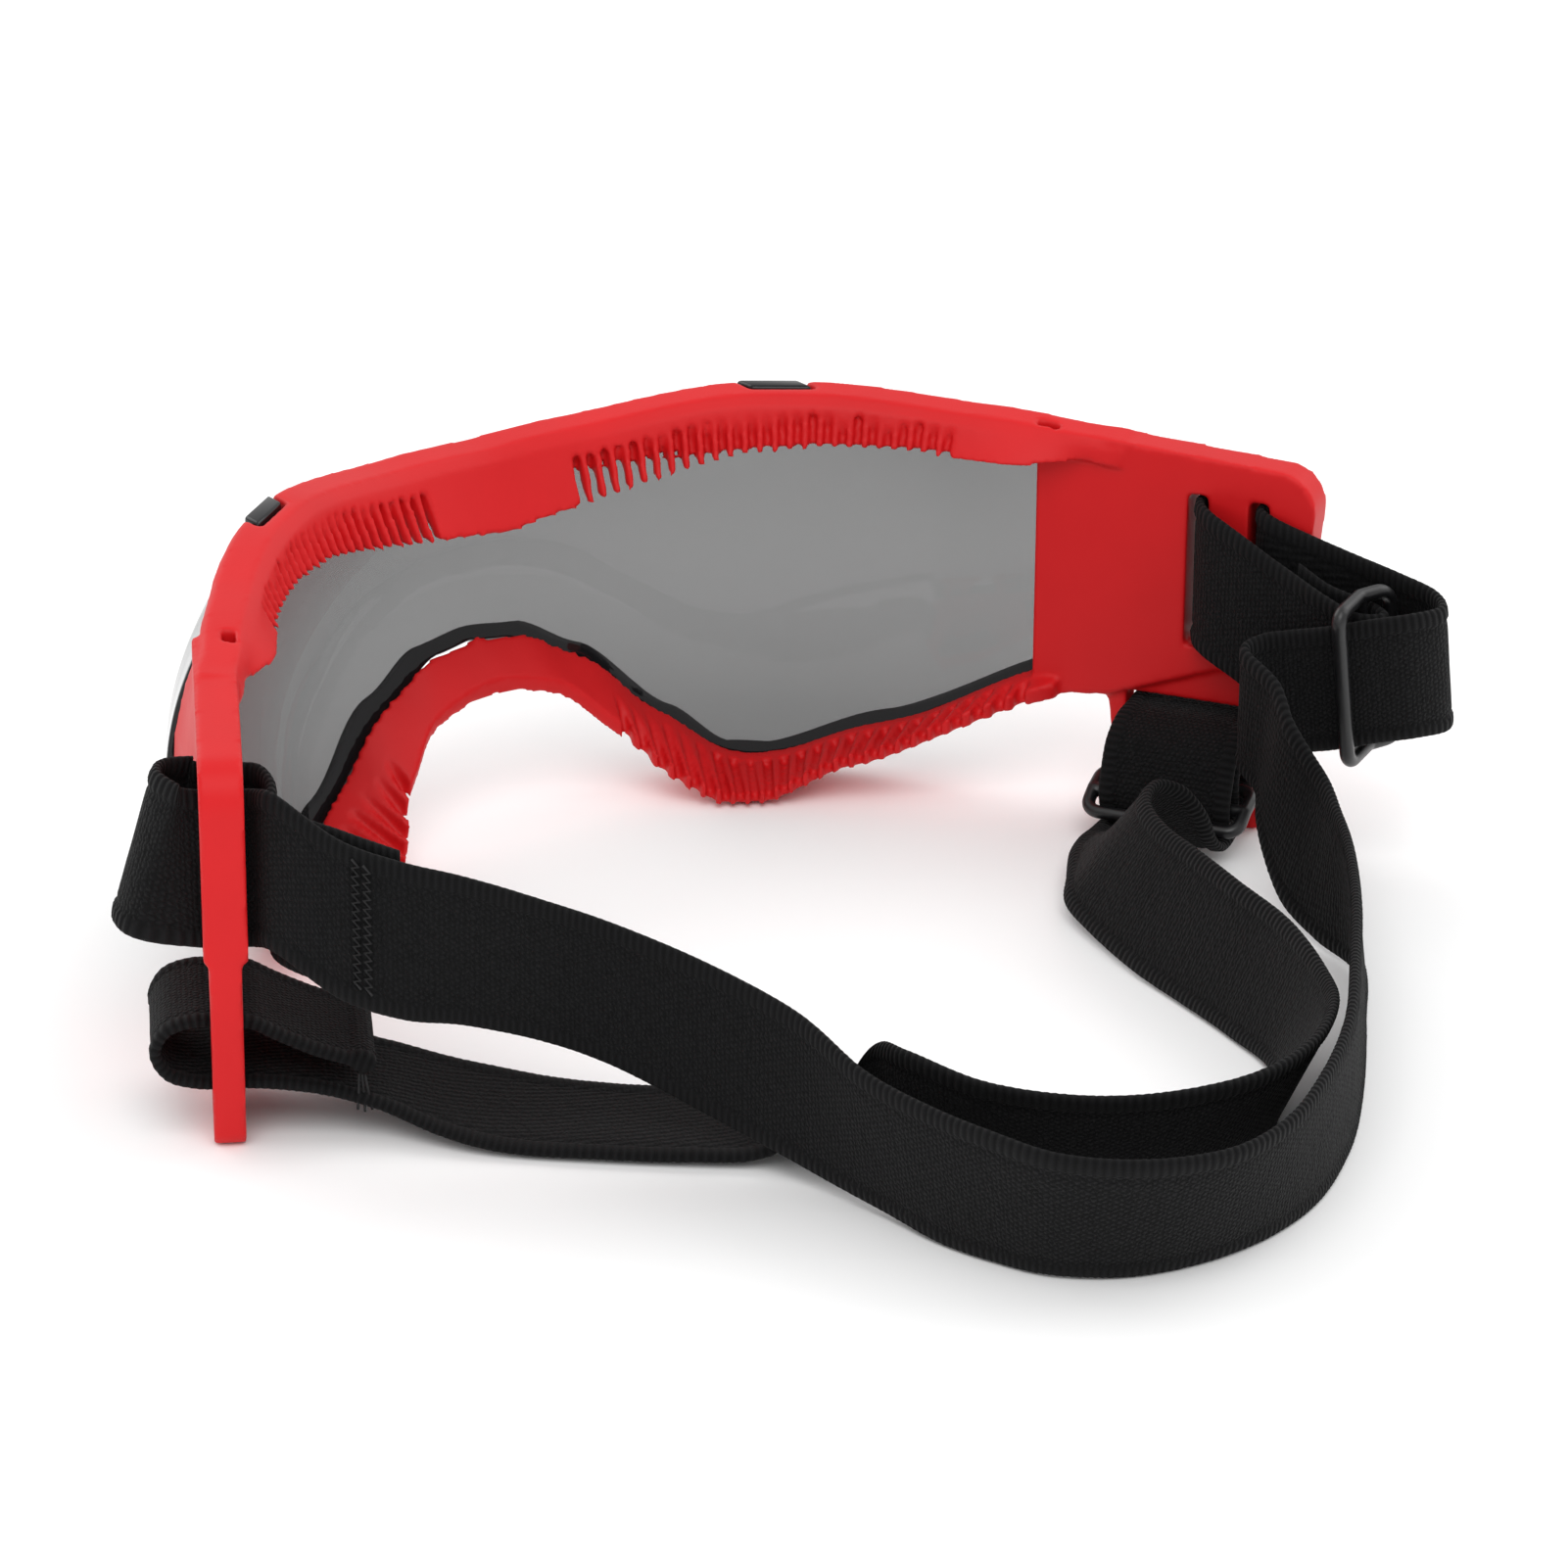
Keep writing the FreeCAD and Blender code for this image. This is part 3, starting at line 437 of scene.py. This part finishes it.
@dataclass(frozen=True)
class BlackPlastic:
    """Semi-gloss moulded black plastic."""

    name: str = "black_plastic"
    colour: Triple = (0.004, 0.004, 0.0045)

    def make(self) -> bpy.types.Material:
        """Build the material."""
        n = Nodes(self.name)
        place = n.add("TexCoord").outputs["Object"]
        wear = n.add("TexNoise", Vector=place, Scale=350.0, Detail=4.0).outputs[0]
        n.feed("Base Color", n.mixed(wear, self.colour, (0.010, 0.010, 0.011)))
        n.feed("Roughness", n.maths("MULTIPLY_ADD", wear, 0.2, 0.25))
        n.bump(n.add("TexNoise", Vector=place, Scale=1800.0).outputs[0], 0.00002, 0.4)
        return n.material


@dataclass(frozen=True)
class SewingThread:
    """Twisted black sewing thread."""

    name: str = "sewing_thread"

    def make(self) -> bpy.types.Material:
        """Build the material."""
        n = Nodes(self.name)
        place = n.add("TexCoord").outputs["Object"]
        twist = n.add("TexNoise", Vector=place, Scale=4200.0, Detail=2.0).outputs[0]
        n.feed("Base Color", n.mixed(twist, (0.0015, 0.0015, 0.0015), (0.010, 0.010, 0.011)))
        n.feed("Roughness", 0.7)
        n.bump(twist, 0.00005, 0.8)
        return n.material


@dataclass(frozen=True)
class PaleFloor:
    """Plain white studio floor."""

    name: str = "pale_floor"

    def make(self) -> bpy.types.Material:
        """Build the material."""
        n = Nodes(self.name)
        n.feed("Base Color", (1.0, 1.0, 1.0, 1))
        n.feed("Roughness", 0.7)
        n.feed("Specular IOR Level", 0.1)
        return n.material


# ------------------------------------------------------------------ frame
@dataclass
class SoftFrame:
    """The red one-piece frame with its comb, cheek ribs, temples, arms and ears."""

    voxel: float = 0.42
    rounds: int = 2
    keep: float = 0.60
    finish: SoftRubber = SoftRubber()

    def build(self) -> bpy.types.Object:
        """Copy the moulded shape, round every edge of it and dress it."""
        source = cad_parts["frame"]
        piece = bpy.data.objects.new("soft_frame", source.data.copy())
        bpy.context.scene.collection.objects.link(piece)
        activate(piece)
        bpy.ops.object.mode_set(mode="EDIT")
        bpy.ops.mesh.select_all(action="SELECT")
        bpy.ops.mesh.remove_doubles(threshold=1e-6)
        bpy.ops.object.mode_set(mode="OBJECT")
        apply_modifier(piece, "REMESH", mode="VOXEL", voxel_size=self.voxel * MM, adaptivity=0.0)
        apply_modifier(piece, "SMOOTH", factor=0.5, iterations=self.rounds)
        apply_modifier(piece, "DECIMATE", ratio=self.keep)
        activate(piece)
        bpy.ops.object.shade_smooth()
        piece.data.materials.clear()
        piece.data.materials.append(self.finish.make())
        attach(piece, "frame")
        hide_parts("frame")
        return piece


# ------------------------------------------------------------------ lens
@dataclass
class DomedLens:
    """One wrap-around shell with a rounded rim and two tabs."""

    reach: float = 77.4
    thickness: float = 1.6
    columns: int = 180
    rows: int = 48
    seat: float = 0.6
    dark_band: float = 0.2
    band_share: float = 4 / 48
    finish: SmokeLens = SmokeLens()

    def outer_point(self, u: float, v: float) -> Triple:
        """Point of the outer face for u and v from 0 to 1."""
        along = (2 * u - 1) * self.reach
        low = min(eased(LENS_LOW, abs(along) + step) for step in (-2.2, -1.1, 0, 1.1, 2.2)) - 1.4
        high = eased(TOP_EDGE, along) - 3.0
        band = eased(LENS_LOW, along) + self.dark_band
        if v < self.band_share:
            v = (band - low) * v / self.band_share / (high - low)
        else:
            v = (band - low + (high - band) * (v - self.band_share) / (1 - self.band_share)) / (high - low)
        height = low + (high - low) * v
        around = [abs(along) + step for step in (-6, -3, 0, 3, 6)]
        bottom = sum(eased(LENS_LOW, a) for a in around) / 5 - 1.9
        top = sum(eased(TOP_EDGE, a) for a in around) / 5 - 3.0
        t = min(max(2 * (height - bottom) / (top - bottom) - 1, -1), 1)
        depth = eased(OUTER_FACE, along) + self.seat - self.thickness - eased(LENS_BULGE, along) * (1 - t * t)
        return at(along, depth, height)

    def build(self) -> bpy.types.Object:
        """Wrap a grid over the dome, thicken it and round its rim."""
        deselect()
        bpy.ops.mesh.primitive_grid_add(x_subdivisions=self.columns, y_subdivisions=self.rows, size=1)
        piece = bpy.context.object
        piece.name = "lens_shell"
        dark = {f.index for f in piece.data.polygons if f.center.y + 0.5 < self.band_share}
        for vertex in piece.data.vertices:
            u, v = vertex.co.x + 0.5, vertex.co.y + 0.5
            vertex.co = Vector(self.outer_point(min(max(u, 0), 1), min(max(v, 0), 1))) * MM
        self.face_forwards(piece)
        for face in (LensFace.OUTER, LensFace.INNER, LensFace.RIM, LensFace.RIM):
            piece.data.materials.append(self.finish.make(face))
        for face in piece.data.polygons:
            face.material_index = 2 if face.index in dark else 0
        apply_modifier(piece, "SOLIDIFY", thickness=self.thickness * MM, offset=-1.0, material_offset=1,
                       material_offset_rim=2)
        apply_modifier(piece, "BEVEL", width=0.3 * MM, segments=2, limit_method="ANGLE",
                       angle_limit=math.radians(50), material=2)
        smooth(piece, 35)
        tabs = [self.tab(side) for side in (1, -1)]
        deselect()
        for part in (piece, *tabs):
            part.select_set(True)
        bpy.context.view_layer.objects.active = piece
        bpy.ops.object.join()
        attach(piece, "lens")
        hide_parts("lens")
        return piece

    def tab(self, side: int) -> bpy.types.Object:
        """Make one snap tab on the top edge: a rounded block whose ends run the way the lens comes off."""
        deselect()
        start, end = (at(along, 0, 0) for along in TAB_ENDS)
        bpy.ops.mesh.primitive_cube_add(size=1)
        block = bpy.context.object
        for vertex in block.data.vertices:
            corner = end if vertex.co.x > 0 else start
            y = corner[1] + (TAB_DEPTH[1] if vertex.co.y > 0 else TAB_DEPTH[0])
            z = TAB_HEIGHT[1] if vertex.co.z > 0 else TAB_HEIGHT[0]
            vertex.co = Vector((corner[0] * side, y, z)) * MM
        activate(block)
        bpy.ops.object.mode_set(mode="EDIT")
        bpy.ops.mesh.select_all(action="SELECT")
        bpy.ops.mesh.normals_make_consistent(inside=False)
        bpy.ops.mesh.bevel(offset=0.45 * MM, segments=3, affect="EDGES")
        bpy.ops.object.mode_set(mode="OBJECT")
        block.data.materials.append(self.finish.make(LensFace.RIM))
        smooth(block, 35)
        return block

    def face_forwards(self, piece: bpy.types.Object) -> None:
        """Make sure that the outer face looks forwards."""
        activate(piece)
        bpy.ops.object.mode_set(mode="EDIT")
        bpy.ops.mesh.select_all(action="SELECT")
        bpy.ops.mesh.normals_make_consistent(inside=False)
        bpy.ops.object.mode_set(mode="OBJECT")
        middle = min(piece.data.polygons, key=lambda p: abs(p.center.x) + abs(p.center.z - 0.035))
        if middle.normal.y > 0:
            bpy.ops.object.mode_set(mode="EDIT")
            bpy.ops.mesh.flip_normals()
            bpy.ops.object.mode_set(mode="OBJECT")


# ------------------------------------------------------------------ straps
@dataclass
class Webbing:
    """A flat knitted strap with rolled ribbed edges."""

    name: str
    node: str
    path: Sequence[Station]
    gathered: float
    hem: float = 0.0
    follows: bool = False
    width: float = 20.0
    thickness: float = 1.3
    step: float = 0.30
    finish: KnitElastic = KnitElastic()

    def profile(self) -> List[Tuple[float, float, float, float]]:
        """Section as (across, out, outer face, edge) from -1 to 1 in width and thickness."""
        points = []
        offsets = [0.0, 0.018, 0.05, 0.09, 0.13, 0.165, 0.2, 0.26, 0.36, 0.5]
        offsets = offsets + [1 - o for o in reversed(offsets[:-1])]
        for way, face in ((1, 1.0), (-1, 0.0)):
            for o in (offsets if way > 0 else list(reversed(offsets))):
                x = 2 * o - 1
                edge = min(o, 1 - o)
                if edge < 0.001:
                    out = 0.35
                elif edge < 0.10:
                    out = 0.72 + 0.38 * math.sin(math.pi * min(edge / 0.10, 1) * 0.62)
                elif edge < 0.15:
                    out = 0.62
                else:
                    out = 0.82
                points.append((x, way * out, face, 1.0 if edge < 0.105 else 0.0))
        return points

    def drawn_in(self, centre: Vector) -> float:
        """Share of the full width at a place: the strap is gathered beside the ears."""
        share = min(max((abs(centre.x) - GATHER_FROM) / GATHER_OVER, 0), 1)
        return 1 - (1 - self.gathered) * share

    def build(self) -> bpy.types.Object:
        """Loft the section along the path, with its knit coordinates, and dress it."""
        rows = evenly(curve_through(self.path, 24), self.step)
        section = self.profile()
        rng = random.Random(len(self.path))
        mesh = bpy.data.meshes.new(self.name)
        form = bmesh.new()
        knit = form.loops.layers.uv.new("strap")
        side = form.loops.layers.uv.new("side")
        rings, travelled = [], 0.0
        half, thick = self.width / 2, self.thickness / 2
        lengths = []
        for i, (centre, wide) in enumerate(rows):
            ahead, behind = rows[min(i + 1, len(rows) - 1)][0], rows[max(i - 1, 0)][0]
            normal = (ahead - behind).cross(wide).normalized()
            if i:
                travelled += (centre - rows[i - 1][0]).length
            lengths.append(travelled)
            rib = 0.5 + 0.5 * math.sin(2 * math.pi * travelled / RIB_PITCH)
            scale = self.drawn_in(centre)
            wander = 0.12 * math.sin(travelled / 9.0) + 0.08 * math.sin(travelled / 3.7 + 1)
            ring = []
            for x, out, face, edge in section:
                across = x * half * scale * (1 - 0.003 * abs(x) ** 6 * (1 - rib)) + wander * x * x * x * 0.6
                folded = 1 + self.hem * math.exp(-((travelled - 1.5) / 1.2) ** 4)
                lift = folded * out * (1 + (0.10 * (rib - 0.6)) * edge) + 0.03 * rng.uniform(-1, 1)
                point = centre + wide * across + normal * thick * lift
                point.z = max(point.z, 0.02)
                ring.append(form.verts.new(point * MM))
            rings.append(ring)
        count = len(section)
        for i in range(len(rings) - 1):
            for k in range(count):
                m = (k + 1) % count
                corners = [(i, k), (i + 1, k), (i + 1, m), (i, m)]
                face = form.faces.new([rings[a][b] for a, b in corners])
                flat = section[k][2] if section[k][2] == section[m][2] else 0.5
                for loop, (a, b) in zip(face.loops, corners):
                    loop[knit].uv = (section[b][0] * half, lengths[a])
                    loop[side].uv = (flat, section[b][3])
        for ring, turn in ((rings[0], 1), (rings[-1], -1)):
            face = form.faces.new(ring[::turn])
            for loop in face.loops:
                loop[side].uv = (1, 1)
        form.normal_update()
        bmesh.ops.recalc_face_normals(form, faces=form.faces)
        form.to_mesh(mesh)
        form.free()
        piece = bpy.data.objects.new(self.name, mesh)
        bpy.context.scene.collection.objects.link(piece)
        piece.data.materials.append(self.finish.make())
        smooth(piece, 60)
        if self.follows:
            follow_slider(piece)
        else:
            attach(piece, "frame")
        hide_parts(self.node)
        LOG.info("%s is %.0f mm long", self.name, travelled)
        return piece


def follow_slider(piece: bpy.types.Object) -> None:
    """Bake a strap's placement into its mesh; it is left without a parent body."""
    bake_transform(piece)


# ------------------------------------------------------------------ sliders
@dataclass
class StrapSlider:
    """A moulded three-bar slider."""

    name: str
    node: str
    body: str
    centres: Tuple[Triple, Triple, Triple]
    direction: Triple
    height: float
    bar: float
    finish: BlackPlastic = BlackPlastic()

    def rod(self, points: Sequence[Vector], closed: bool) -> bpy.types.Object:
        """Round rod along points.

        Args:
            points: places in mm.
            closed: whether the rod is a ring.

        Returns:
            The rod as a mesh object.
        """
        curve = bpy.data.curves.new(self.name, "CURVE")
        curve.dimensions = "3D"
        curve.bevel_depth = self.bar / 2 * MM
        curve.bevel_resolution = 6
        curve.use_fill_caps = True
        spline = curve.splines.new("POLY")
        spline.points.add(len(points) - 1)
        for spot, point in zip(spline.points, points):
            spot.co = (*(point * MM), 1)
        spline.use_cyclic_u = closed
        rod = bpy.data.objects.new(self.name + "_rod", curve)
        bpy.context.scene.collection.objects.link(rod)
        activate(rod)
        bpy.ops.object.convert(target="MESH")
        return bpy.context.object

    def build(self) -> bpy.types.Object:
        """Make the rounded ring and its middle bar as one moulding, and dress it."""
        first, middle, last = [Vector(c) for c in self.centres]
        along = Vector(self.direction).normalized()
        reach = (self.height - self.bar) / 2
        corner = self.bar
        ring: List[Vector] = []
        across_a, across_b = (middle - first).normalized(), (last - middle).normalized()
        for centre, across, sign in ((first, across_a, -1), (last, across_b, 1)):
            for end in ((-1, 1) if sign < 0 else (1, -1)):
                tip = centre + along * reach * end
                inside = tip - along * corner * end - across * corner * sign
                for k in range(7):
                    a = math.pi / 2 * k / 6
                    if (sign < 0) == (end < 0):
                        a = math.pi / 2 - a
                    outwards = across * corner * sign * math.cos(a)
                    ring.append(inside + outwards + along * corner * end * math.sin(a))
            if sign < 0:
                ring.append(middle + along * reach)
        ring.append(middle - along * reach)
        rods = [self.rod(ring, True), self.rod([middle - along * reach, middle + along * reach], False)]
        deselect()
        for rod in rods:
            rod.select_set(True)
        bpy.context.view_layer.objects.active = rods[0]
        bpy.ops.object.join()
        piece = bpy.context.object
        piece.name = self.name
        apply_modifier(piece, "REMESH", mode="VOXEL", voxel_size=0.2 * MM)
        apply_modifier(piece, "SMOOTH", factor=0.5, iterations=4)
        bpy.ops.object.shade_smooth()
        piece.data.materials.clear()
        piece.data.materials.append(self.finish.make())
        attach(piece, self.body)
        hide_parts(self.node)
        return piece


# ------------------------------------------------------------------ stitching
@dataclass
class StitchTack:
    """Rows of sewing that join a strap's tail to its band."""

    name: str
    node: str
    centre: Triple
    width_way: Triple
    along_way: Triple
    out_way: Triple
    length: float
    rows: int = 2
    tufts: Sequence[Tuple[Triple, Triple]] = ()
    finish: SewingThread = SewingThread()

    def build(self) -> bpy.types.Object:
        """Sew bar-tack rows as one zigzag thread each, and dress them."""
        wide, along = Vector(self.width_way).normalized(), Vector(self.along_way).normalized()
        out = Vector(self.out_way).normalized()
        curve = bpy.data.curves.new(self.name, "CURVE")
        curve.dimensions = "3D"
        curve.bevel_depth = THREAD_RADIUS * MM
        curve.bevel_resolution = 2
        for row in range(self.rows):
            shift = (row - (self.rows - 1) / 2) * ROW_GAP
            count = int(self.length / STITCH)
            spline = curve.splines.new("POLY")
            spline.points.add(count)
            for i in range(count + 1):
                swing, lift = (STITCH_SWING, 0.12) if i % 2 else (-STITCH_SWING, 0.05)
                spot = (Vector(self.centre) + wide * (i / count - 0.5) * self.length
                        + along * (shift + swing) + out * lift)
                spline.points[i].co = (*(spot * MM), 1)
        for number, (root, way) in enumerate(self.tufts):
            for strand in range(3):
                spline = curve.splines.new("POLY")
                spline.points.add(6)
                for i in range(7):
                    bend = 0.5 * math.sin(i * 0.7 + strand * 2.1 + number) * i / 6
                    fan = 0.35 * (strand - 1) * (1 + i / 4)
                    spot = Vector(root) + Vector(way) * i / 6 + wide * bend + along * fan
                    spline.points[i].co = (*(spot * MM), 1)
        piece = bpy.data.objects.new(self.name, curve)
        bpy.context.scene.collection.objects.link(piece)
        activate(piece)
        bpy.ops.object.convert(target="MESH")
        piece = bpy.context.object
        bpy.ops.object.shade_smooth()
        piece.data.materials.append(self.finish.make())
        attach(piece, "frame")
        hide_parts(self.node)
        return piece


# ------------------------------------------------------------------ studio
@dataclass
class Studio:
    """Floor, lights, sky and camera."""

    azimuth: float = 143.0
    elevation: float = 23.2
    roll: float = 0.36
    distance: float = 858.4
    target: Triple = (-41.52, 0.0, -2.8)
    lens: float = 146.2
    sky_strength: float = 0.78
    lights: Tuple[Tuple[str, Triple, float, float], ...] = (
        ("key", (0.5, 0.7, 1.1), 0.9, 7.0),
        ("fill", (-0.9, 0.2, 0.8), 0.9, 3.5),
        ("front", (0.2, -0.9, 0.7), 0.8, 3.5),
    )

    def floor(self) -> None:
        """Lay the floor."""
        deselect()
        bpy.ops.mesh.primitive_plane_add(size=6, location=(0, 0, 0))
        floor = bpy.context.object
        floor.name = "studio_floor"
        floor.data.materials.append(PaleFloor().make())

    def light(self, name: str, place: Triple, size: float, power: float) -> None:
        """Hang a soft square light that looks at the goggles."""
        lamp = bpy.data.lights.new(name, "AREA")
        lamp.size = size
        lamp.energy = power
        holder = bpy.data.objects.new(name, lamp)
        bpy.context.scene.collection.objects.link(holder)
        holder.location = place
        holder.rotation_euler = (Vector((0, 0.05, 0.02)) - Vector(place)).to_track_quat("-Z", "Y").to_euler()

    def sky(self, strength: float) -> None:
        """Fill the room with even white light."""
        world = bpy.data.worlds.new("studio_sky")
        world.use_nodes = True
        world.node_tree.nodes["Background"].inputs[0].default_value = (1, 1, 1, 1)
        world.node_tree.nodes["Background"].inputs[1].default_value = strength
        bpy.context.scene.world = world

    def camera(self) -> None:
        """Place the camera."""
        a, e, r = (math.radians(v) for v in (self.azimuth, self.elevation, self.roll))
        back = Vector((math.sin(a) * math.cos(e), -math.cos(a) * math.cos(e), math.sin(e)))
        right = Vector((math.cos(a), math.sin(a), 0))
        up = back.cross(right)
        right, up = right * math.cos(r) + up * math.sin(r), up * math.cos(r) - right * math.sin(r)
        view = bpy.data.cameras.new("view")
        view.lens = self.lens
        view.sensor_width = 36
        view.clip_end = 10
        holder = bpy.data.objects.new("view", view)
        bpy.context.scene.collection.objects.link(holder)
        turn = Matrix((right, up, back)).transposed().to_4x4()
        holder.matrix_world = Matrix.Translation((Vector(self.target) + back * self.distance) * MM) @ turn
        bpy.context.scene.camera = holder

    def build(self) -> None:
        """Set the whole studio."""
        bpy.context.scene.view_settings.view_transform = "Standard"
        self.floor()
        self.sky(self.sky_strength)
        for name, place, size, power in self.lights:
            self.light(name, place, size, power)
        self.camera()


def main() -> None:
    """Build every sub-assembly in order."""
    logging.basicConfig(level=logging.INFO, format="%(message)s")
    head_middle = (at(-124.5, 12.7, 27), at(-124.9, 5.05, 27), at(-127.5, 0.9, 27))
    chin_middle = (at(-100.5, 12.4, 4.6), at(-100.5, 9.2, 6.4), at(-100.5, 5.2, 7.6))
    side_left, side_right = (0.515, 0.857, 0), (-0.515, 0.857, 0)
    builders = [
        SoftFrame(),
        DomedLens(),
        Webbing("head_webbing", "head_strap", HEAD_PATH, 1.0, follows=True),
        Webbing("chin_webbing", "chin_strap", CHIN_PATH, 0.9, hem=0.9),
        StrapSlider("head_glide", "head_slider", "head_slider", head_middle, LEAN_RIGHT, 26, 2.0),
        StrapSlider("chin_glide", "chin_slider", "chin_slider", chin_middle, CHIN_RIGHT, 22.6, 1.8),
        StitchTack("head_left_stitches", "head_tack_left", (70.6, 68.3, 31.2), UPRIGHT, (0.65, -0.75, 0.5),
                   (0.75, 0.65, 0), 16),
        StitchTack("head_right_stitches", "head_tack_right", at(-115.7, 5.9, 30.5), UPRIGHT, side_right,
                   (0.857, 0.515, 0), 14),
        StitchTack("chin_left_stitches", "chin_tack_left", (61.6, 53.3, 10.2), side_left, (0.83, -0.5, 0.2),
                   (0, 0, 1), 16,
                   tufts=(((57.1, 45.6, 9.6), (-0.4, -0.8, 4.2)), ((65.9, 60.3, 8.0), (0.6, 1.4, -4.0)))),
        StitchTack("chin_right_stitches", "chin_tack_right", at(-100.5, 8.8, 10.1), side_right, (0, 0, 1),
                   (0.857, 0.515, 0), 14),
    ]
    for builder in builders:
        piece = builder.build()
        LOG.info("%s: %d faces", piece.name, len(piece.data.polygons))
    Studio().build()


if __name__ == "__main__":
    main()
